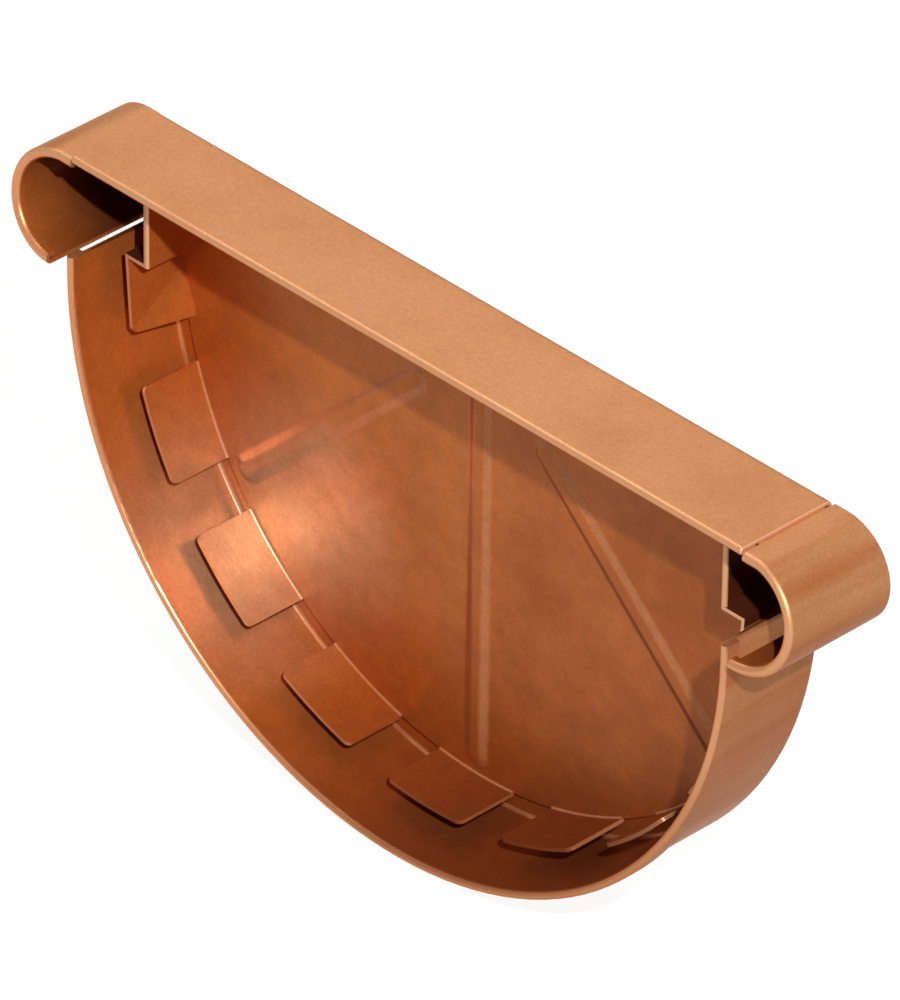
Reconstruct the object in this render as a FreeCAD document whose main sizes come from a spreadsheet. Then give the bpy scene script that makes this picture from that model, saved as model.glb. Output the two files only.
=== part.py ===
import FreeCAD, Part
import os
import re
import Sketcher
from math import atan2, hypot

# Copper end cap that closes a half-round gutter: shell, tabbed plate and two bead sleeves
doc = FreeCAD.newDocument("gutter_end_cap")
sizes = doc.addObject("Spreadsheet::Sheet", "Sizes")

# Driving dimensions in millimetres and degrees, origin on the gutter axis at the front edges
dimensions = {
    "gauge": 0.7,             # copper sheet
    "depth": 23.2,            # front edges to the back face
    "bend": 0.8,              # inner radius of the shell's bends
    "hem": 1.6,               # thickness of a folded edge
    "relief": 0.5,            # clearance cut beside the shell's bends
    "rim_bore": 77.6,         # inner radius of the half-round rim
    "rim_rise": 3.1,          # straight rim above the half circle
    "rim_fold": 3.2,          # width of the rim's folded front edge
    "strip_top": 21.8,        # top face of the flat strip above the gutter axis
    "strip_setback": 2.1,     # strip's front edge behind the rim's
    "strip_fold": 3.4,        # width of the strip's folded front edge
    "strip_round": 0.35,      # rubbed upper edge of the strip's ends
    "strip_gap": 0.3,         # strip ends short of a sleeve's lip
    "sleeve_offset": 5.6,     # sleeve axis outside the rim's bore
    "sleeve_radius": 10.1,    # outer radius of a sleeve
    "sleeve_wrap": 190,       # turn of a sleeve from its top
    "lip": 1.0,               # outer radius of the sleeve's rolled front lip
    "lip_sweep": 4.2,         # lip comes forward by this over the turn
    "lip_return": 0.9,        # straight end of the roll
    "lip_reach": 3.0,         # flat top of the sleeve before the strip
    "tail_reach": 9.2,        # sleeve tail under the strip, from the sleeve axis
    "tail_gap": 1.3,          # tail starts behind the strip's fold
    "wall_slot": 3.3,         # room for the gutter wall between rim and tabs
    "tab_reach": 9.3,         # free edge of the tabs behind the front
    "tab_arc": 14,            # angle covered by one tab
    "tab_corner": 1.2,        # rounding of a tab's free corners
    "fold": 0.5,              # inner radius at the root of the tabs
    "wall_inset": 8.3,        # upper side wall inside the rim's bore
    "wall_fold": 3.0,         # width of the side wall's doubled front edge
    "wall_round": 0.55,       # rounding of that edge
    "ledge_z": 1.9,           # ledge between side wall and corner tab
    "crease_z": 5.0,          # upper end of the corner tab's crease, below the axis
    "corner_end": 14.2,       # lower end of the corner tab, below the axis
    "corner_tuck": 2.4,       # root of the corner tab drawn in from the ring
    "rib_width": 5.6,         # pressed rib at its foot
    "rib_height": 0.8,        # height of a rib towards the front
    "rib_flank_angle": 65,    # lean of a rib's flanks
    "rib_round": 2.0,         # rounding along a rib's crest and foot
    "rib_mid_top": 13.0,      # upper end of the middle rib
    "rib_mid_gap": 0.9,       # middle rib ends short of the fold
    "rib_side_x": 15.5,       # upper end of a side rib
    "rib_side_z": 0.6,        # upper end of a side rib, below the axis
    "rib_side_gap": 1.2,      # side rib ends short of the fold
    "rib_side_angle": 43,     # fall of a side rib
}

# Sizes that follow from them, tabs evenly spaced between the two corner tabs
derived = {
    "tab_ring": "rim_bore - wall_slot",
    "wall_x": "rim_bore - wall_inset",
    "wall_top": "strip_top - hem",
    "sleeve_x": "rim_bore + sleeve_offset",
    "strip_half": "sleeve_x - lip_reach - strip_gap",
    "tail_setback": "strip_setback + strip_fold + tail_gap",
    "ring_arc": "2*(90 deg - asin(corner_end/tab_ring))",
    "tab_pitch": "(ring_arc + tab_arc*1 deg)/8",
    "rib_reach": "tab_ring - gauge - fold - rib_width/2",
    "rib_mid_end": "rib_reach - rib_mid_gap",
    "rib_side_end": "rib_reach - rib_side_gap",
    "rib_side_near": "rib_side_x*cos(rib_side_angle) + rib_side_z*sin(rib_side_angle)",
    "rib_side_far": "sqrt(rib_side_end^2 - rib_side_x^2 - rib_side_z^2 + rib_side_near^2)",
    "rib_side_span": "rib_side_far - rib_side_near",
}
contents = {alias: str(size) for alias, size in dimensions.items()}
contents.update({alias: "=" + text for alias, text in derived.items()})
for row, (alias, content) in enumerate(contents.items(), 1):
    sizes.set("A%d" % row, alias.replace("_", " "))
    sizes.set("B%d" % row, content)
    sizes.setAlias("B%d" % row, alias)
doc.recompute()

aliases = re.compile(r"\b(%s)\b" % "|".join(contents))

# Positions used by more than one sheet
shell_front = "(depth - gauge)"
plate_front = "(depth - 2*gauge)"
bend_outer = "(bend + gauge)"
bend_foot = "(rim_bore - bend)"
rim_outer = "(rim_bore + gauge)"
strip_under = "(strip_top - gauge)"
strip_bend = "(strip_top - bend - gauge)"
sleeve_z = "(strip_top - gauge - sleeve_radius)"
notch_x = "(rim_bore + gauge + 2*relief)"
tab_inner = "(tab_ring - gauge)"


def formula(text):
    return aliases.sub(r"Sizes.\1", text)


def number(text):
    return float(sizes.evalExpression(formula(text)))


def negative(text):
    return "-(%s)" % text


# Outlines: corners given by formulas, an arc is (centre, centre, turn) after its first corner
def pin(sketch, geometry, end, axis, text):
    distance = number(text)
    kind, reference = ("DistanceX", -2) if axis == 0 else ("DistanceY", -1)
    if abs(distance) < 1e-6:
        sketch.addConstraint(Sketcher.Constraint("PointOnObject", geometry, end, reference))
        return
    points = (-1, 1, geometry, end) if distance > 0 else (geometry, end, -1, 1)
    signed = text if distance > 0 else negative(text)
    index = sketch.addConstraint(Sketcher.Constraint(kind, *points, abs(distance)))
    sketch.setExpression("Constraints[%d]" % index, formula(signed))


def draw_loop(sketch, corners):
    first = sketch.GeometryCount
    points = [FreeCAD.Vector(number(corner[0]), number(corner[1]), 0) for corner in corners]
    following = points[1:] + points[:1]
    ends = []
    for corner, here, there in zip(corners, points, following):
        if len(corner) == 2:
            sketch.addGeometry(Part.LineSegment(here, there), False)
            ends.append((1, 2))
            continue
        centre = FreeCAD.Vector(number(corner[2][0]), number(corner[2][1]), 0)
        along = (here, there) if corner[2][2] > 0 else (there, here)
        angles = [atan2(point.y - centre.y, point.x - centre.x) for point in along]
        circle = Part.Circle(centre, FreeCAD.Vector(0, 0, 1), here.distanceToPoint(centre))
        sketch.addGeometry(Part.ArcOfCircle(circle, *angles), False)
        ends.append((1, 2) if corner[2][2] > 0 else (2, 1))
    for index in range(len(corners)):
        after = (index + 1) % len(corners)
        sketch.addConstraint(
            Sketcher.Constraint("Coincident", first + index, ends[index][1], first + after, ends[after][0])
        )
    for index, corner in enumerate(corners):
        for axis in (0, 1):
            pin(sketch, first + index, ends[index][0], axis, corner[axis])
        if len(corner) == 3:
            chord = following[index] - points[index]
            axis = 0 if abs(chord.y) > abs(chord.x) else 1
            pin(sketch, first + index, 3, axis, corner[2][axis])


def arc_in_pieces(centre_x, centre_y, radius, first, last, pieces):
    corners = []
    for piece in range(pieces):
        angle = first + (last - first)*piece/pieces
        x = "%s + %s*cos(%g)" % (centre_x, radius, angle)
        y = "%s + %s*sin(%g)" % (centre_y, radius, angle)
        corners.append((x, y, (centre_x, centre_y, 1 if last > first else -1)))
    return corners


def with_mirror(right, closing=None):
    left = []
    for index in reversed(range(len(right))):
        corner = (negative(right[index][0]), right[index][1])
        if index and len(right[index - 1]) == 3:
            centre_x, centre_y, turn = right[index - 1][2]
            corner += ((negative(centre_x), centre_y, turn),)
        left.append(corner)
    if closing:
        left[-1] += (closing,)
    return right + left


# Bodies and features
def new_body(label):
    body = doc.addObject("PartDesign::Body", label)
    body.Label = label
    return body


def origin_part(body, role):
    return next(part for part in body.Origin.OriginFeatures if part.Role == role)


def new_sketch(body, name, role, loops, offset=("0", "0", "0"), turn=None):
    sketch = body.newObject("Sketcher::SketchObject", name)
    sketch.AttachmentSupport = [(origin_part(body, role), "")]
    sketch.MapMode = "FlatFace"
    if turn:
        sketch.AttachmentOffset = FreeCAD.Placement(
            FreeCAD.Vector(), FreeCAD.Rotation(FreeCAD.Vector(1, 0, 0), number(turn))
        )
        sketch.setExpression("AttachmentOffset.Rotation.Angle", formula(turn))
    for axis, text in zip("xyz", offset):
        if text != "0":
            sketch.setExpression("AttachmentOffset.Base.%s" % axis, formula(text))
    for corners in loops:
        draw_loop(sketch, corners)
    doc.recompute()
    return sketch


def extrude(body, name, sketch, length, kind="Pad", backward=False, both_ways=False):
    feature = body.newObject("PartDesign::" + kind, name)
    feature.Profile = sketch
    feature.setExpression("Length", formula(length))
    feature.Reversed = backward
    if both_ways:
        feature.SideType = "Symmetric"
    doc.recompute()
    return feature


def revolve(body, name, sketch, axis, angle, backward=False, both_ways=False):
    feature = body.newObject("PartDesign::Revolution", name)
    feature.Profile = sketch
    feature.ReferenceAxis = (sketch, [axis])
    feature.setExpression("Angle", formula(angle))
    feature.Reversed = backward
    feature.Midplane = both_ways
    doc.recompute()
    return feature


def mirror(body, name, originals):
    feature = body.newObject("PartDesign::Mirrored", name)
    feature.Originals = originals
    feature.MirrorPlane = (origin_part(body, "YZ_Plane"), [""])
    body.Tip = feature
    doc.recompute()
    return feature


def round_edges(body, name, radius, wanted):
    base = body.Tip
    edges = ["Edge%d" % index for index, edge in enumerate(base.Shape.Edges, 1) if wanted(edge)]
    feature = body.newObject("PartDesign::Fillet", name)
    feature.Base = (base, edges)
    feature.setExpression("Radius", formula(radius))
    doc.recompute()
    return feature


def edge_at_depth(edge, depth):
    return all(abs(vertex.Y - depth) < 1e-4 for vertex in edge.Vertexes)


# Outer shell: back plate with an ear behind each sleeve
shell = new_body("outer_shell")
ear_low = sleeve_z + " - sqrt(sleeve_radius^2 - (sleeve_x - %s)^2)" % notch_x
ear_and_side = [
    (bend_foot, "0"),
    (bend_foot, "rim_rise + relief"),
    (notch_x, "rim_rise + relief"),
    (notch_x, ear_low, ("sleeve_x", sleeve_z, 1)),
    ("sleeve_x", strip_under),
    ("strip_half + relief", strip_under),
    ("strip_half + relief", strip_bend + " - relief"),
    ("strip_half", strip_bend + " - relief"),
    ("strip_half", strip_bend),
]
back_outline = with_mirror(ear_and_side, closing=("0", "0", 1))
back_sketch = new_sketch(shell, "back_outline", "XZ_Plane", [back_outline], ("0", "0", "-depth"))
extrude(shell, "back_plate", back_sketch, "gauge")

# Half-round rim with its front edge folded outwards
bend_start = "(depth - bend - gauge)"
rim_profile = arc_in_pieces(bend_foot, bend_start, bend_outer, 90, 0, 2)
rim_profile += [(rim_outer, bend_start), (rim_outer, "rim_fold"), ("rim_bore + hem", "rim_fold")]
rim_profile += arc_in_pieces("(rim_bore + hem/2)", "(hem/2)", "(hem/2)", 0, -180, 4)
rim_profile += [("rim_bore", "hem/2")]
rim_profile += arc_in_pieces(bend_foot, bend_start, "bend", 0, 90, 2)
rim_profile += [(bend_foot, shell_front)]
rim_sketch = new_sketch(shell, "rim_profile", "XY_Plane", [rim_profile])
revolve(shell, "rim_half_round", rim_sketch, "V_Axis", "180")
upright_sketch = new_sketch(shell, "upright_profile", "XY_Plane", [rim_profile])
upright = extrude(shell, "rim_upright", upright_sketch, "rim_rise")
mirror(shell, "rim_upright_pair", [upright])

# Top strip bent forward from the back plate, front edge folded under
strip_nose = "(strip_setback + hem/2)"
strip_profile = [
    ("depth", strip_bend, (bend_start, strip_bend, 1)),
    (bend_start, "strip_top"),
    (strip_nose, "strip_top", (strip_nose, "strip_top - hem/2", 1)),
    (strip_nose, "strip_top - hem"),
    ("strip_setback + strip_fold", "strip_top - hem"),
    ("strip_setback + strip_fold", strip_under),
    (bend_start, strip_under, (bend_start, strip_bend, -1)),
    (shell_front, strip_bend),
]
strip_sketch = new_sketch(shell, "strip_profile", "YZ_Plane", [strip_profile])
extrude(shell, "top_strip", strip_sketch, "2*strip_half", both_ways=True)
strip_end = number("strip_half")
strip_face = number("strip_top")
round_edges(
    shell,
    "strip_ends",
    "strip_round",
    lambda edge: all(
        abs(abs(vertex.X) - strip_end) + abs(vertex.Z - strip_face) < 1e-4 for vertex in edge.Vertexes
    ),
)

# Inner plate, outlined by the tab ring and the stepped upper corners
plate = new_body("inner_plate")
plate_arc = "(tab_ring - gauge)"
root_low_x = "sqrt(tab_ring^2 - corner_end^2) - corner_tuck"
crease_x = "sqrt(tab_ring^2 - crease_z^2)"
plate_side = [
    ("sqrt(%s^2 - corner_end^2)" % plate_arc, "-corner_end"),
    (root_low_x, "-corner_end"),
    (crease_x, "-crease_z"),
    ("tab_ring", "ledge_z"),
    ("wall_x", "ledge_z"),
    ("wall_x", "wall_top"),
]
plate_outline = with_mirror(plate_side, closing=("0", "0", 1))
plate_sketch = new_sketch(plate, "plate_outline", "XZ_Plane", [plate_outline], ("0", "0", "-" + shell_front))
extrude(plate, "plate", plate_sketch, "gauge")

# Seven plain tabs bent forward out of the plate
fold_y = "(depth - gauge - fold - gauge)"
fold_z = "-(tab_ring - fold - gauge)"
tab_root = "-(tab_ring - 4*gauge)"
tab_profile = [
    ("tab_reach", "-tab_ring"),
    (fold_y, "-tab_ring", (fold_y, fold_z, 1)),
    (shell_front, fold_z),
    (shell_front, tab_root),
    (plate_front, tab_root),
    (plate_front, fold_z, (fold_y, fold_z, -1)),
    (fold_y, negative(tab_inner)),
    ("tab_reach", negative(tab_inner)),
]
tab_sketch = new_sketch(plate, "tab_profile", "YZ_Plane", [tab_profile])
tab = revolve(plate, "tab", tab_sketch, "H_Axis", "tab_arc", both_ways=True)
for name, backward in (("tabs_right", False), ("tabs_left", True)):
    tabs = plate.newObject("PartDesign::PolarPattern", name)
    tabs.Originals = [tab]
    tabs.Axis = (tab_sketch, ["H_Axis"])
    tabs.setExpression("Angle", formula("3*tab_pitch"))
    tabs.Occurrences = 4
    tabs.Reversed = backward
    plate.Tip = tabs
    doc.recompute()


# Stepped corner wall: side wall, ledge and a creased corner tab in one fold
def corner_section(middle, lowest):
    outer = [("wall_x", "wall_top"), ("wall_x", "ledge_z"), ("tab_ring", "ledge_z"), middle, lowest]
    inner = [(x + " - gauge", z) for x, z in (lowest, middle)]
    inner += [(x + " - gauge", "ledge_z - gauge") for x in ("tab_ring", "wall_x")]
    return outer + inner + [("wall_x - gauge", "wall_top")]


def ring_point(below):
    return ("sqrt(tab_ring^2 - (%s)^2)" % below, negative(below))


root_section = corner_section((crease_x, "-crease_z"), (root_low_x, "-corner_end"))
free_section = corner_section(ring_point("corner_end - 2*gauge"), ring_point("corner_end - gauge"))
root_sketch = new_sketch(plate, "corner_root", "XZ_Plane", [root_section], ("0", "0", "-" + shell_front))
free_sketch = new_sketch(plate, "corner_free", "XZ_Plane", [free_section], ("0", "0", "-tab_reach"))
corner = plate.newObject("PartDesign::AdditiveLoft", "corner_wall")
corner.Profile = root_sketch
corner.Sections = [free_sketch]
corner.Ruled = True
doc.recompute()

# Doubled front edge of the side wall
edge_outline = [
    ("wall_x", "ledge_z"),
    ("wall_x + gauge", "ledge_z"),
    ("wall_x + gauge", "wall_top"),
    ("wall_x", "wall_top"),
]
edge_sketch = new_sketch(plate, "edge_fold_outline", "XZ_Plane", [edge_outline], ("0", "0", "-tab_reach"))
edge_fold = extrude(plate, "edge_fold", edge_sketch, "wall_fold", backward=True)
mirror(plate, "corner_pair", [corner, edge_fold])

tab_edge = number("tab_reach")
sheet_gauge = number("gauge")


def crosses_tab_sheet(edge):
    radii = [hypot(vertex.X, vertex.Z) for vertex in edge.Vertexes]
    return edge.Length < 1.1*sheet_gauge and max(radii) - min(radii) > 0.5*sheet_gauge


round_edges(
    plate,
    "tab_corners",
    "tab_corner",
    lambda edge: edge_at_depth(edge, tab_edge) and edge.CenterOfMass.z < 0 and crosses_tab_sheet(edge),
)
wall_face = number("wall_x")


def on_wall_edge(edge):
    if edge.CenterOfMass.z < 0 or edge.Length < 2*sheet_gauge or not edge_at_depth(edge, tab_edge):
        return False
    return all(abs(abs(abs(vertex.X) - wall_face) - sheet_gauge) < 1e-4 for vertex in edge.Vertexes)


round_edges(plate, "wall_edges", "wall_round", on_wall_edge)


# Three ribs pressed towards the front, hollow behind
def slot(start, end, along, half_width):
    (start_x, start_z), (end_x, end_z) = start, end
    side_x = "(%s)*(%s)" % (negative(along[1]), half_width)
    side_z = "(%s)*(%s)" % (along[0], half_width)
    return [
        ("%s - %s" % (start_x, side_x), "%s - %s" % (start_z, side_z)),
        ("%s - %s" % (end_x, side_x), "%s - %s" % (end_z, side_z), (end_x, end_z, 1)),
        ("%s + %s" % (end_x, side_x), "%s + %s" % (end_z, side_z)),
        ("%s + %s" % (start_x, side_x), "%s + %s" % (start_z, side_z), (start_x, start_z, 1)),
    ]


def rib_loops(half_width):
    loops = [slot(("0", "rib_mid_top"), ("0", "-rib_mid_end"), ("0", "-1"), half_width)]
    for side in ("1", "-1"):
        along = (side + "*cos(rib_side_angle)", "-sin(rib_side_angle)")
        start = (side + "*rib_side_x", "-rib_side_z")
        end = tuple("%s + rib_side_span*(%s)" % pair for pair in zip(start, along))
        loops.append(slot(start, end, along, half_width))
    return loops


rib_sketch = new_sketch(
    plate, "rib_outline", "XZ_Plane", rib_loops("rib_width/2"), ("0", "0", "-" + plate_front)
)
ribs = extrude(plate, "ribs", rib_sketch, "rib_height")
ribs.setExpression("TaperAngle", formula("-rib_flank_angle"))
doc.recompute()
rib_crest = number(plate_front + " - rib_height")
plate_face = number(plate_front)
rib_limit = number("rib_reach + rib_width/2 - gauge/2")
rib_side = number("wall_x - 2*gauge")


def on_rib(edge):
    level = edge_at_depth(edge, rib_crest) or edge_at_depth(edge, plate_face)
    return level and all(
        abs(vertex.X) < rib_side and hypot(vertex.X, vertex.Z) < rib_limit for vertex in edge.Vertexes
    )


round_edges(plate, "rib_rounding", "rib_round", on_rib)
hollow_sketch = new_sketch(
    plate, "rib_hollow_outline", "XZ_Plane", rib_loops("rib_width/2 - gauge"), ("0", "0", "-" + shell_front)
)
extrude(plate, "rib_hollows", hollow_sketch, "rib_height", kind="Pocket", backward=True)


# Sleeves rolled round the gutter's bead, front edge rolled inwards to a lip that comes forward
def lip_profile(back):
    lip_y = "(strip_setback + lip)"
    roll = "(sleeve_radius - 2*lip)"
    return [
        (back, "sleeve_radius"),
        (lip_y, "sleeve_radius", (lip_y, "sleeve_radius - lip", 1)),
        (lip_y, roll),
        (lip_y + " + lip_return", roll),
        (lip_y + " + lip_return", roll + " + gauge"),
        (lip_y, roll + " + gauge", (lip_y, "sleeve_radius - lip", -1)),
        (lip_y, "sleeve_radius - gauge"),
        (back, "sleeve_radius - gauge"),
    ]


def bead_sleeve(label, right):
    body = new_body(label)
    centre = "sleeve_x" if right else "-sleeve_x"
    place = ("0", sleeve_z, centre)
    full_profile = lip_profile(shell_front + " + lip_sweep")
    profile = new_sketch(body, label + "_profile", "YZ_Plane", [full_profile], place)
    roll = body.newObject("PartDesign::AdditiveHelix", label + "_roll")
    roll.Profile = profile
    roll.ReferenceAxis = (profile, ["H_Axis"])
    roll.Mode = "height-turns-angle"
    roll.setExpression("Height", formula("lip_sweep"))
    roll.setExpression("Turns", formula("sleeve_wrap/360"))
    roll.LeftHanded = right
    roll.Reversed = True
    body.Tip = roll
    doc.recompute()
    # back end cut level with the ear
    reach = ["%s %s 2*sleeve_radius" % (centre, sign) for sign in "+-"]
    span = ["%s %s 2*sleeve_radius" % (sleeve_z, sign) for sign in "+-"]
    end_outline = [(reach[0], span[0]), (reach[1], span[0]), (reach[1], span[1]), (reach[0], span[1])]
    end_place = ("0", "0", "-" + shell_front)
    end_sketch = new_sketch(body, label + "_end_outline", "XZ_Plane", [end_outline], end_place)
    extrude(body, label + "_end_cut", end_sketch, "2*lip_sweep", kind="Pocket")
    flat_top = new_sketch(body, label + "_top_profile", "YZ_Plane", [lip_profile(shell_front)], place)
    extrude(body, label + "_top", flat_top, "lip_reach", backward=right)
    tail_end = bend_start + " - relief"
    tail_profile = [
        ("tail_setback", "sleeve_radius - gauge"),
        (tail_end, "sleeve_radius - gauge"),
        (tail_end, "sleeve_radius"),
        ("tail_setback", "sleeve_radius"),
    ]
    tail = new_sketch(body, label + "_tail_profile", "YZ_Plane", [tail_profile], place)
    extrude(body, label + "_tail", tail, "tail_reach", backward=right)
    return body


sleeves = [bead_sleeve("bead_sleeve_left", False), bead_sleeve("bead_sleeve_right", True)]

# Every feature is sound before the sheets are written
doc.recompute()
for item in doc.Objects:
    if any(word in state for state in item.State for word in ("Invalid", "Error")):
        raise RuntimeError("feature failed: " + item.Label)
    shape = getattr(item, "Shape", None)
    if shape is None or not item.isDerivedFrom("PartDesign::Feature"):
        continue
    if shape.isNull() or not shape.isValid():
        raise RuntimeError("shape not sound: " + item.Label)

os.makedirs("parts", exist_ok=True)
for body in [shell, plate] + sleeves:
    if len(body.Shape.Solids) != 1:
        raise RuntimeError("%s has %d solids" % (body.Label, len(body.Shape.Solids)))
    body.Shape.exportStep("parts/%s.step" % body.Label)
    box = body.Shape.optimalBoundingBox(False)
    extent = "size %.1f %.1f %.1f" % (box.XLength, box.YLength, box.ZLength)
    print(body.Label, "volume %.1f" % body.Shape.Volume, extent)
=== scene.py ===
from math import cos, radians, sin
import bpy
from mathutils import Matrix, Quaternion, Vector


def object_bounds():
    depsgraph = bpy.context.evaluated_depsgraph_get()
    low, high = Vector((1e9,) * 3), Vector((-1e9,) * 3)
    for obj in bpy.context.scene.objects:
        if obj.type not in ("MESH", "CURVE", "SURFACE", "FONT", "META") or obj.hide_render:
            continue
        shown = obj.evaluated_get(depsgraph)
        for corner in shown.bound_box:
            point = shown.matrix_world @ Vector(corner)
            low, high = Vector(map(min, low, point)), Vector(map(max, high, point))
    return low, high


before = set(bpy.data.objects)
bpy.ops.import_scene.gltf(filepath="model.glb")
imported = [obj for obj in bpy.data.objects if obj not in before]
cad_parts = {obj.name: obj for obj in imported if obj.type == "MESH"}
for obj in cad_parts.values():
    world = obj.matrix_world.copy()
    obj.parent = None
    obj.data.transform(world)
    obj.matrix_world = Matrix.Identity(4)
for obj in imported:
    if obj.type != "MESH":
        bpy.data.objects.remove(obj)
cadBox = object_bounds()
bpy.ops.object.select_all(action="DESELECT")  # the sheets come in selected
scene = bpy.context.scene
print("sheets loaded:", ", ".join(sorted(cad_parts)))


def toLinear(hexColour):
    channels = [int(hexColour[i:i + 2], 16) / 255 for i in (1, 3, 5)]
    return [c / 12.92 if c <= 0.04045 else ((c + 0.055) / 1.055) ** 2.4 for c in channels] + [1.0]


# An input takes a value, a socket, or a node, whose live output is linked. Numbered inputs: 1 to 4 of
# Map Range are from least, from most, to least, to most; 0, 6, 7 of a colour Mix are share and colours
def addNode(tree, kind, inputs=None, **settings):
    node = tree.nodes.new(kind)
    for name, value in settings.items():
        setattr(node, name, value)
    for name, value in (inputs or {}).items():
        if isinstance(value, bpy.types.Node):
            value = next(output for output in value.outputs if output.enabled)
        if isinstance(value, bpy.types.NodeSocket):
            tree.links.new(value, node.inputs[name])
        else:
            node.inputs[name].default_value = value
    return node


# Bare copper, cold rolled: satin and warm on the weather side, the sheltered side keeps a
# deeper red-brown film drawn darker still with painted shade, and edges carry a painted highlight
copperSheet = {
    "bright": "#C88A5B",        # weather side, clean
    "dull": "#B6794A",          # weather side, where the oxide film starts
    "streakReflection": "#AE5F2F",       # weather side, dark streaks, a painted reflection of streaky surroundings
    "under": "#B46C3B",         # weather side that looks down, drawn darker as painted shade
    "filmAndShade": "#CB7031",          # sheltered side, oxide film drawn deeper as painted shade of the hollow
    "deepFilmAndShade": "#AC5924",      # sheltered side, thicker film with the same painted shade
    "lowShade": "#8E4822",           # painted shade low in the trough, which also paints the rim's shadow on the right
    "bore": "#66321E",          # painted shade in the closed bore of the sleeves
    "paleHighlight": "#D4A886",          # pale copper, painted reflection and painted highlight on the sheltered side
    "bareEdgeAndHighlight": "#EBB086",       # sheared edges, bare metal with a painted highlight, and folded edges, painted highlight

    "roughness": (0.38, 0.50),  # weather side, least and most
    "polish": 0.10,             # the sheltered side is that much smoother
    "metallic": (0.45, 0.40),   # weather side and sheltered side, the film scatters the rest
    "foldMetal": 0.90,          # metallic on the folded front edges, where little film is left
    "filmGloss": (0.4, "#F2CDB0"),  # sheen of the film, level and tint

    "grain": 0.0006,            # m, rolling grain, drawn coarser than it is so that it shows
    "mottle": 0.0035,           # m, scuffs and spots in the film
    "cloud": 0.020,             # m, patches of oxide
    "streak": (0.007, 0.070),   # m, dark streaks of painted reflection, width and length along the depth
    "wave": 0.050,              # m, slow waves that the press leaves in the sheet
    "noiseSpan": (0.3, 0.7),    # most values of a noise lie between these
    "grainTint": (0.91, 1.08),  # darkest and lightest grain
    "spotTint": (1.03, 0.99, 0.88),     # lightest spot, darkest on the weather side, darkest inside
    "filmPatch": (0.36, 0.66, 0.60),    # noise where film starts and is full, and its share there
    "streakPatch": (0.46, 0.66, 0.75),  # the same for streaks
    "highlightPatch": (0.35, 0.65, 0.60),    # the same for where the pale patch of painted reflection thins, and its share there
    "grainBump": (0.12, 0.0002),        # strength, and height in m
    "waveBump": (0.25, 0.002),

    # a "turn" is the span of a normal's part in which a face comes to look that way
    "edgeTurn": (-0.15, -0.50),     # to the front
    "edgeDepth": (0.006, 0.016),    # m, folded edges before the first, the tabs' sheared edges between
    "edgeBlend": 0.001,             # m, from one to the other
    "rubbed": 0.50,                 # share of the painted highlight colour on the folded ones
    "endTurn": (0.30, 0.60),        # to either end
    "stripReach": (0.0810, 0.0198),     # m, the strip lies inside this x and above this z
    "insideTurn": (-0.05, -0.25),   # towards the axis of the roll
    "aheadTurn": (-0.20, -0.60),    # to the front, from the end wall
    "floorDepth": 0.0205,           # m, the end wall lies behind this
    "rolledTurn": (0.50, 0.80),     # to the front or back, where no streak shows
    "underTurn": (0.25, -0.35),     # down
    "underShare": 0.80,
    "darkeningSpan": (-0.050, 0.060),   # m, the sheltered side darkens from the first x to the second
    "deepAdded": (-0.35, 0.65),     # share of the deeper colour that is added there
    "lowShadeHeight": (-0.053, -0.079),  # m, the low painted shade starts at the first and is full at the second
    "lowShadeTilt": 0.42,                # the low painted shade climbs to the right, where it paints the rim's shadow
    "wallLowShade": 0.45,               # share of the low painted shade on the upright end wall
    "highlightSpot": (-0.045, 0.012, -0.043),    # m, middle of the pale patch of painted reflection
    "highlightReach": (0.006, 0.034),    # m, the patch fades between these
    "ribTurn": (-0.985, -0.930),    # away from the front, on the ribs' flanks
    "ribHighlight": 0.25,                # share of painted highlight there
    "boreAxis": (0.0832, 0.0110),   # m, x and z of the sleeves' axes
    "boreReach": (0.0098, 0.0101),  # m, the bore's painted shade ends between these
    "boreDepth": (0.001, 0.017),    # m, and deepens between these
    "pocket": (0.066, 0.0779, 0.000, 0.0165),   # m, x and z limits of the space between wall and rim
    "pocketDepth": (0.003, 0.005),  # m, its painted shade starts between these
    "backDepth": 0.0227,            # m, the back sheet lies behind this
}


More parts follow.
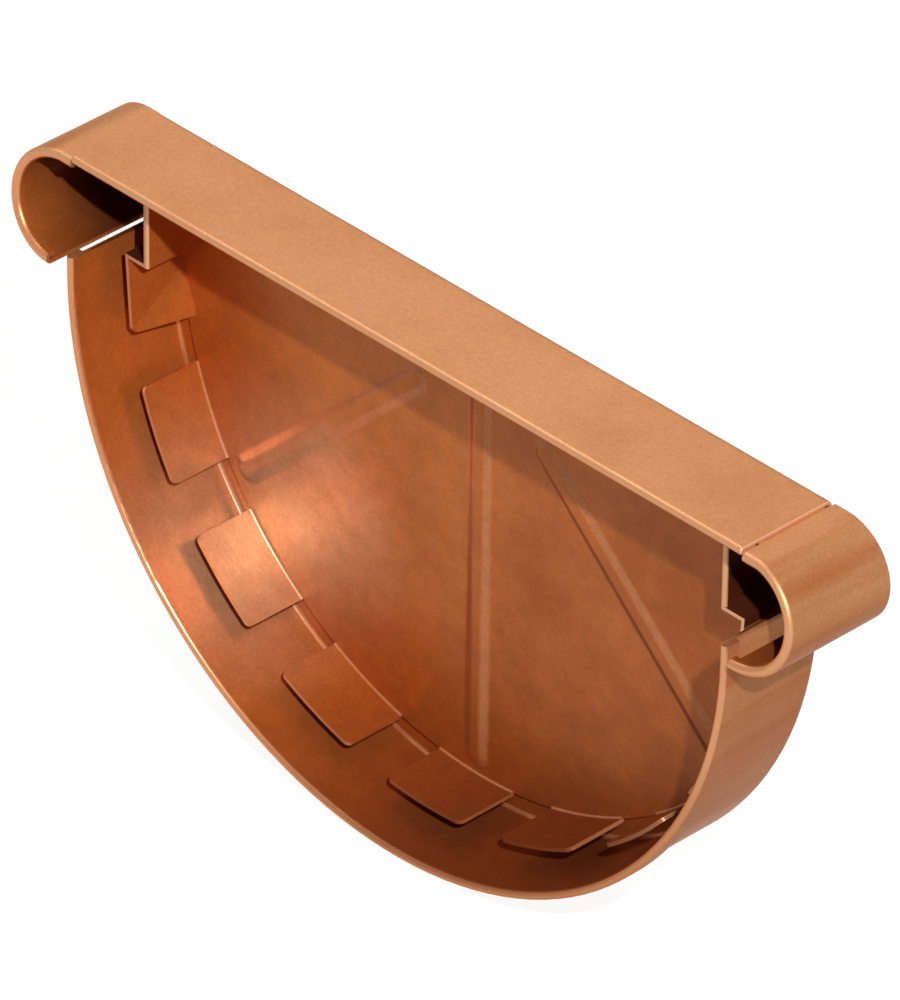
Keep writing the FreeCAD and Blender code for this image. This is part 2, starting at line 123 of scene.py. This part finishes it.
def rolledCopper(name, axis):
    size = copperSheet
    colour = {part: toLinear(size[part]) for part in (
        "bright", "dull", "streakReflection", "under", "filmAndShade", "deepFilmAndShade", "lowShade", "bore", "paleHighlight", "bareEdgeAndHighlight")}
    material = bpy.data.materials.new(name)
    material.use_nodes = True
    tree = material.node_tree
    tree.nodes.clear()
    place = addNode(tree, "ShaderNodeTexCoord").outputs
    spot, normal = place["Object"], place["Normal"]
    where = addNode(tree, "ShaderNodeSeparateXYZ", {0: spot}).outputs
    facing = addNode(tree, "ShaderNodeSeparateXYZ", {0: normal}).outputs
    besides = addNode(tree, "ShaderNodeMath", {0: where["X"]}, operation="ABSOLUTE")

    grain = addNode(tree, "ShaderNodeTexNoise", {"Vector": spot, "Scale": 1 / size["grain"], "Detail": 2.0})
    mottle = addNode(tree, "ShaderNodeTexNoise", {"Vector": spot, "Scale": 1 / size["mottle"], "Detail": 4.0})
    cloud = addNode(tree, "ShaderNodeTexNoise", {"Vector": spot, "Scale": 1 / size["cloud"], "Detail": 5.0})
    wave = addNode(tree, "ShaderNodeTexNoise", {"Vector": spot, "Scale": 1 / size["wave"], "Detail": 0.0})
    across, along = size["streak"]
    drawn = addNode(tree, "ShaderNodeVectorMath", {
        0: spot, 1: (1 / across, 1 / along, 1 / across)}, operation="MULTIPLY")
    streak = addNode(tree, "ShaderNodeTexNoise", {"Vector": drawn, "Scale": 1.0, "Detail": 3.0})
    dim, strong = size["noiseSpan"]

    # sheared edges are bright bare metal with a painted highlight, folded front edges get part of the painted
    # highlight colour
    near, far = size["edgeDepth"]
    start, full = size["edgeTurn"]
    turned = addNode(tree, "ShaderNodeMapRange", {"Value": facing["Y"], 1: start, 2: full})
    notFar = addNode(tree, "ShaderNodeMath", {0: where["Y"], 1: far}, operation="LESS_THAN")
    frontEdge = addNode(tree, "ShaderNodeMath", {0: notFar, 1: turned}, operation="MULTIPLY")
    edgeShare = addNode(tree, "ShaderNodeMapRange", {
        "Value": where["Y"], 1: near, 2: near + size["edgeBlend"], 3: size["rubbed"]})
    sheared = addNode(tree, "ShaderNodeMath", {0: frontEdge, 1: edgeShare}, operation="MULTIPLY")
    atFront = addNode(tree, "ShaderNodeMath", {0: where["Y"], 1: near}, operation="LESS_THAN")
    folded = addNode(tree, "ShaderNodeMath", {0: atFront, 1: turned}, operation="MULTIPLY")
    outmost, lowest = size["stripReach"]
    high = addNode(tree, "ShaderNodeMath", {0: where["Z"], 1: lowest}, operation="GREATER_THAN")
    between = addNode(tree, "ShaderNodeMath", {0: besides, 1: outmost}, operation="LESS_THAN")
    onStrip = addNode(tree, "ShaderNodeMath", {0: high, 1: between}, operation="MULTIPLY")
    start, full = size["endTurn"]
    sideways = addNode(tree, "ShaderNodeMath", {0: facing["X"]}, operation="ABSOLUTE")
    endFace = addNode(tree, "ShaderNodeMapRange", {"Value": sideways, 1: start, 2: full})
    stripEnd = addNode(tree, "ShaderNodeMath", {0: endFace, 1: onStrip}, operation="MULTIPLY")
    bareAndLitEdge = addNode(tree, "ShaderNodeMath", {0: sheared, 1: stripEnd}, operation="MAXIMUM")

    # sheltered: faces that look towards the axis of the roll, and the front of the end wall; their colour carries
    # painted shade
    fromAxis = addNode(tree, "ShaderNodeVectorMath", {0: spot, 1: (axis[0], 0, axis[1])}, operation="SUBTRACT")
    radial = addNode(tree, "ShaderNodeVectorMath", {0: fromAxis, 1: (1, 0, 1)}, operation="MULTIPLY")
    outward = addNode(tree, "ShaderNodeVectorMath", {0: radial}, operation="NORMALIZE")
    lean = addNode(tree, "ShaderNodeVectorMath", {0: outward, 1: normal}, operation="DOT_PRODUCT")
    start, full = size["insideTurn"]
    inside = addNode(tree, "ShaderNodeMapRange", {"Value": lean, 1: start, 2: full})
    deep = addNode(tree, "ShaderNodeMath", {0: where["Y"], 1: size["floorDepth"]}, operation="GREATER_THAN")
    start, full = size["aheadTurn"]
    ahead = addNode(tree, "ShaderNodeMapRange", {"Value": facing["Y"], 1: start, 2: full})
    wall = addNode(tree, "ShaderNodeMath", {0: deep, 1: ahead}, operation="MULTIPLY")
    covered = addNode(tree, "ShaderNodeMath", {0: inside, 1: wall}, operation="MAXIMUM")

    # behind the sleeves' mouths everything is painted dark: painted shade of the hollow
    axisX, axisZ = size["boreAxis"]
    oneSide = addNode(tree, "ShaderNodeCombineXYZ", {"X": besides, "Z": where["Z"]})
    fromBore = addNode(tree, "ShaderNodeVectorMath", {0: oneSide, 1: (axisX, 0, axisZ)}, operation="DISTANCE")
    near, far = size["boreReach"]
    within = addNode(tree, "ShaderNodeMapRange", {"Value": fromBore, 1: near, 2: far, 3: 1.0, 4: 0.0})
    mouth, end = size["boreDepth"]
    behind = addNode(tree, "ShaderNodeMapRange", {"Value": where["Y"], 1: mouth, 2: end})
    deepIn = addNode(tree, "ShaderNodeMath", {0: within, 1: behind}, operation="MULTIPLY")
    left, right, bottom, top = size["pocket"]
    pocketX = addNode(tree, "ShaderNodeMath", {
        0: besides, 1: (left + right) / 2, 2: (right - left) / 2}, operation="COMPARE")
    pocketZ = addNode(tree, "ShaderNodeMath", {
        0: where["Z"], 1: (bottom + top) / 2, 2: (top - bottom) / 2}, operation="COMPARE")
    pocketed = addNode(tree, "ShaderNodeMath", {0: pocketX, 1: pocketZ}, operation="MULTIPLY")
    start, full = size["pocketDepth"]
    pastEdge = addNode(tree, "ShaderNodeMapRange", {"Value": where["Y"], 1: start, 2: full})
    openSide = addNode(tree, "ShaderNodeMath", {0: inside, 1: ahead}, operation="MAXIMUM")
    hidden = addNode(tree, "ShaderNodeMath", {0: pastEdge, 1: openSide}, operation="SUBTRACT", use_clamp=True)
    inPocket = addNode(tree, "ShaderNodeMath", {0: pocketed, 1: hidden}, operation="MULTIPLY")
    hollow = addNode(tree, "ShaderNodeMath", {0: deepIn, 1: inPocket}, operation="MAXIMUM")
    indoors = addNode(tree, "ShaderNodeMath", {0: where["Y"], 1: size["backDepth"]}, operation="LESS_THAN")
    shadedBore = addNode(tree, "ShaderNodeMath", {0: hollow, 1: indoors}, operation="MULTIPLY")
    shelteredAndShaded = addNode(tree, "ShaderNodeMath", {0: covered, 1: shadedBore}, operation="MAXIMUM")

    # weather side: the strip's top is even, faces that look down get painted shade, the rim and the sleeves get
    # painted streaky reflections along their depth
    start, full, share = size["filmPatch"]
    filmShare = addNode(tree, "ShaderNodeMapRange", {"Value": cloud, 1: start, 2: full, 4: share})
    washed = addNode(tree, "ShaderNodeMix", {
        0: filmShare, 6: colour["bright"], 7: colour["dull"]}, data_type="RGBA")
    # painted shade: faces that look down are drawn darker
    start, full = size["underTurn"]
    looksDown = addNode(tree, "ShaderNodeMapRange", {
        "Value": facing["Z"], 1: start, 2: full, 4: size["underShare"]})
    shadedBelow = addNode(tree, "ShaderNodeMix", {0: looksDown, 6: washed, 7: colour["under"]}, data_type="RGBA")
    start, full = size["rolledTurn"]
    lengthwise = addNode(tree, "ShaderNodeMath", {0: facing["Y"]}, operation="ABSOLUTE")
    rolled = addNode(tree, "ShaderNodeMapRange", {"Value": lengthwise, 1: start, 2: full, 3: 1.0, 4: 0.0})
    streaky = addNode(tree, "ShaderNodeMath", {0: rolled, 1: onStrip}, operation="SUBTRACT", use_clamp=True)
    # painted reflection: dark streaks along the depth of the rim and the sleeves, not on the strip
    start, full, share = size["streakPatch"]
    streakShare = addNode(tree, "ShaderNodeMapRange", {"Value": streak, 1: start, 2: full, 4: share})
    reflectedStreaks = addNode(tree, "ShaderNodeMath", {0: streakShare, 1: streaky}, operation="MULTIPLY")
    outer = addNode(tree, "ShaderNodeMix", {0: reflectedStreaks, 6: shadedBelow, 7: colour["streakReflection"]}, data_type="RGBA")

    # sheltered side: film of uneven thickness, darker to the right, painted shade low down that also paints the
    # rim's shadow, a pale patch of painted reflection, and painted highlight on the ribs' flanks
    # darker towards the right
    start, full = size["darkeningSpan"]
    less, more = size["deepAdded"]
    uneven = addNode(tree, "ShaderNodeMapRange", {"Value": where["X"], 1: start, 2: full, 3: less, 4: more})
    deepShare = addNode(tree, "ShaderNodeMath", {0: filmShare, 1: uneven}, operation="ADD", use_clamp=True)
    shelteredBase = addNode(tree, "ShaderNodeMix", {
        0: deepShare, 6: colour["filmAndShade"], 7: colour["deepFilmAndShade"]}, data_type="RGBA")
    # painted shade low in the trough, climbing to the right, where it also paints the rim's shadow
    start, full = size["lowShadeHeight"]
    level = addNode(tree, "ShaderNodeVectorMath", {0: spot, 1: (-size["lowShadeTilt"], 0, 1)}, operation="DOT_PRODUCT")
    lowShadeShare = addNode(tree, "ShaderNodeMapRange", {"Value": level, 1: start, 2: full})
    wallDamping = addNode(tree, "ShaderNodeMapRange", {"Value": wall, 3: 1.0, 4: size["wallLowShade"]})
    lowShadeMix = addNode(tree, "ShaderNodeMath", {0: lowShadeShare, 1: wallDamping}, operation="MULTIPLY")
    lowShade = addNode(tree, "ShaderNodeMix", {0: lowShadeMix, 6: shelteredBase, 7: colour["lowShade"]}, data_type="RGBA")
    # painted reflection: a pale patch beside the second tab, and painted highlight on the ribs' flanks
    middle, rim = size["highlightReach"]
    fromHighlight = addNode(tree, "ShaderNodeVectorMath", {0: spot, 1: size["highlightSpot"]}, operation="DISTANCE")
    highlightPatch = addNode(tree, "ShaderNodeMapRange", {
        "Value": fromHighlight, 1: middle, 2: rim, 3: 1.0, 4: 0.0}, interpolation_type="SMOOTHSTEP")
    start, full, share = size["highlightPatch"]
    patchy = addNode(tree, "ShaderNodeMapRange", {"Value": cloud, 1: start, 2: full, 3: 1.0, 4: share})
    patchLit = addNode(tree, "ShaderNodeMath", {0: highlightPatch, 1: patchy}, operation="MULTIPLY")
    start, full = size["ribTurn"]
    slope = addNode(tree, "ShaderNodeMapRange", {"Value": facing["Y"], 1: start, 2: full, 4: size["ribHighlight"]})
    ribSide = addNode(tree, "ShaderNodeMath", {0: slope, 1: wall}, operation="MULTIPLY")
    highlightShare = addNode(tree, "ShaderNodeMath", {0: patchLit, 1: ribSide}, operation="ADD", use_clamp=True)
    rubbed = addNode(tree, "ShaderNodeMix", {0: highlightShare, 6: lowShade, 7: colour["paleHighlight"]}, data_type="RGBA")
    inner = addNode(tree, "ShaderNodeMix", {0: shadedBore, 6: rubbed, 7: colour["bore"]}, data_type="RGBA")

    # grain and spots over both sides, then the edges with their painted highlight, which dull in the low painted
    # shade
    face = addNode(tree, "ShaderNodeMix", {0: shelteredAndShaded, 6: outer, 7: inner}, data_type="RGBA")
    darkest, lightest = size["grainTint"]
    speckle = addNode(tree, "ShaderNodeMapRange", {"Value": grain, 1: dim, 2: strong, 3: darkest, 4: lightest})
    lightest, darkOutside, darkInside = size["spotTint"]
    darkest = addNode(tree, "ShaderNodeMapRange", {"Value": shelteredAndShaded, 3: darkOutside, 4: darkInside})
    spots = addNode(tree, "ShaderNodeMapRange", {"Value": mottle, 1: dim, 2: strong, 3: lightest, 4: darkest})
    worked = addNode(tree, "ShaderNodeMath", {0: speckle, 1: spots}, operation="MULTIPLY")
    grained = addNode(tree, "ShaderNodeVectorMath", {0: face, 1: worked}, operation="MULTIPLY")
    edgeInShade = addNode(tree, "ShaderNodeMath", {0: lowShadeShare, 1: edgeShare}, operation="MULTIPLY")
    edge = addNode(tree, "ShaderNodeMix", {
        0: edgeInShade, 6: colour["bareEdgeAndHighlight"], 7: colour["lowShade"]}, data_type="RGBA")
    tone = addNode(tree, "ShaderNodeMix", {0: bareAndLitEdge, 6: grained, 7: edge}, data_type="RGBA")

    # finish
    least, most = size["roughness"]
    satin = addNode(tree, "ShaderNodeMapRange", {"Value": cloud, 1: dim, 2: strong, 3: least, 4: most})
    smoother = addNode(tree, "ShaderNodeMath", {0: shelteredAndShaded, 1: size["polish"]}, operation="MULTIPLY")
    gloss = addNode(tree, "ShaderNodeMath", {0: satin, 1: smoother}, operation="SUBTRACT")
    weather, shelter = size["metallic"]
    filmed = addNode(tree, "ShaderNodeMapRange", {"Value": shelteredAndShaded, 3: weather, 4: shelter})
    shine = addNode(tree, "ShaderNodeMath", {0: folded, 1: size["foldMetal"]}, operation="MULTIPLY")
    bare = addNode(tree, "ShaderNodeMath", {0: filmed, 1: shine}, operation="MAXIMUM")
    strength, height = size["waveBump"]
    waved = addNode(tree, "ShaderNodeBump", {"Height": wave, "Strength": strength, "Distance": height})
    strength, height = size["grainBump"]
    bumped = addNode(tree, "ShaderNodeBump", {
        "Height": grain, "Normal": waved, "Strength": strength, "Distance": height})
    sheen, tint = size["filmGloss"]
    metal = addNode(tree, "ShaderNodeBsdfPrincipled", {
        "Base Color": tone, "Roughness": gloss, "Metallic": bare, "Normal": bumped,
        "Specular IOR Level": sheen, "Specular Tint": toLinear(tint)})
    addNode(tree, "ShaderNodeOutputMaterial", {"Surface": metal})
    return material


# Each sheet is sheltered on the side of its own roll's axis
sleeveX, sleeveZ = copperSheet["boreAxis"]
copper = {
    "cap": rolledCopper("rolled_copper_cap", (0.0, 0.0)),
    "left": rolledCopper("rolled_copper_left_sleeve", (-sleeveX, sleeveZ)),
    "right": rolledCopper("rolled_copper_right_sleeve", (sleeveX, sleeveZ)),
}
for name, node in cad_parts.items():
    node.data.materials.clear()
    node.data.materials.append(copper.get(name.rsplit("_", 1)[-1], copper["cap"]))
print("copper on", len(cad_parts), "sheets")

# Matt white board under the rim, plain white to the camera and in reflections
table = {"size": 6.0, "drop": 0.0002, "colour": "#6C6C6B", "lift": 0.93}  # size and drop in m
bpy.ops.mesh.primitive_plane_add(size=table["size"], location=(0, 0, cadBox[0].z - table["drop"]))
floor = bpy.context.object
floor.name = "table"
paper = bpy.data.materials.new("matt_white_board")
paper.use_nodes = True
sheet = paper.node_tree
sheet.nodes.clear()
rays = addNode(sheet, "ShaderNodeLightPath").outputs
seen = addNode(sheet, "ShaderNodeMath", {0: rays["Is Camera Ray"], 1: rays["Is Glossy Ray"]}, operation="MAXIMUM")
glow = addNode(sheet, "ShaderNodeMath", {0: seen, 1: table["lift"]}, operation="MULTIPLY")
matt = addNode(sheet, "ShaderNodeBsdfDiffuse", {"Color": toLinear(table["colour"])})
lift = addNode(sheet, "ShaderNodeEmission", {"Strength": glow})
board = addNode(sheet, "ShaderNodeAddShader", {0: matt, 1: lift})
addNode(sheet, "ShaderNodeOutputMaterial", {"Surface": board})
floor.data.materials.append(paper)
print("table laid")

# Soft white room
room = {"seen": 1.0, "fill": 0.16}
world = bpy.data.worlds.new("white_room")
scene.world = world
world.use_nodes = True
sky = world.node_tree
sky.nodes.clear()
rays = addNode(sky, "ShaderNodeLightPath").outputs
seen = addNode(sky, "ShaderNodeMath", {0: rays["Is Camera Ray"], 1: rays["Is Glossy Ray"]}, operation="MAXIMUM")
seen = addNode(sky, "ShaderNodeMath", {0: seen, 1: rays["Is Transmission Ray"]}, operation="MAXIMUM")
level = addNode(sky, "ShaderNodeMapRange", {"Value": seen, 3: room["fill"], 4: room["seen"]})
back = addNode(sky, "ShaderNodeBackground", {"Strength": level})
addNode(sky, "ShaderNodeOutputWorld", {"Surface": back})

# Key lamp high on the right, small enough for crisp shadows, and a soft box over the left end
lamps = {
    "key_lamp": {"towards": (0.625, -0.435, 0.647), "distance": 1.2, "size": 0.03, "power": 12.5},
    "soft_box": {"towards": (-0.45, 0.20, 0.87), "distance": 0.55, "size": 0.35, "power": 1.1},
}
for name, settings in lamps.items():
    towards = Vector(settings["towards"]).normalized()
    bpy.ops.object.light_add(type="AREA", location=towards * settings["distance"])
    lamp = bpy.context.object
    lamp.name = name
    lamp.rotation_euler = towards.to_track_quat("Z", "Y").to_euler()
    lamp.data.shape = "DISK"
    lamp.data.size = settings["size"]
    lamp.data.energy = settings["power"]
print("room and lamps lit")

# Camera at the photograph's angle, from far off
cameraView = {
    "azimuth": 45.79, "elevation": 34.145, "roll": 0.768,   # degrees
    "lens": 409.8,                                          # mm
    "distance": 1.8808, "aim": (0.01073, 0.00424, -0.00408), "clip": (0.1, 20.0),   # m
}
turn, rise = radians(cameraView["azimuth"]), radians(cameraView["elevation"])
away = Vector((sin(turn) * cos(rise), -cos(turn) * cos(rise), sin(rise)))
bpy.ops.object.camera_add(location=Vector(cameraView["aim"]) + away * cameraView["distance"])
camera = bpy.context.object
camera.rotation_mode = "QUATERNION"
camera.rotation_quaternion = (-away).to_track_quat("-Z", "Y") @ Quaternion((0, 0, 1), radians(cameraView["roll"]))
camera.data.lens = cameraView["lens"]
camera.data.clip_start, camera.data.clip_end = cameraView["clip"]
scene.camera = camera
scene.view_settings.view_transform = "Standard"
print("camera set")
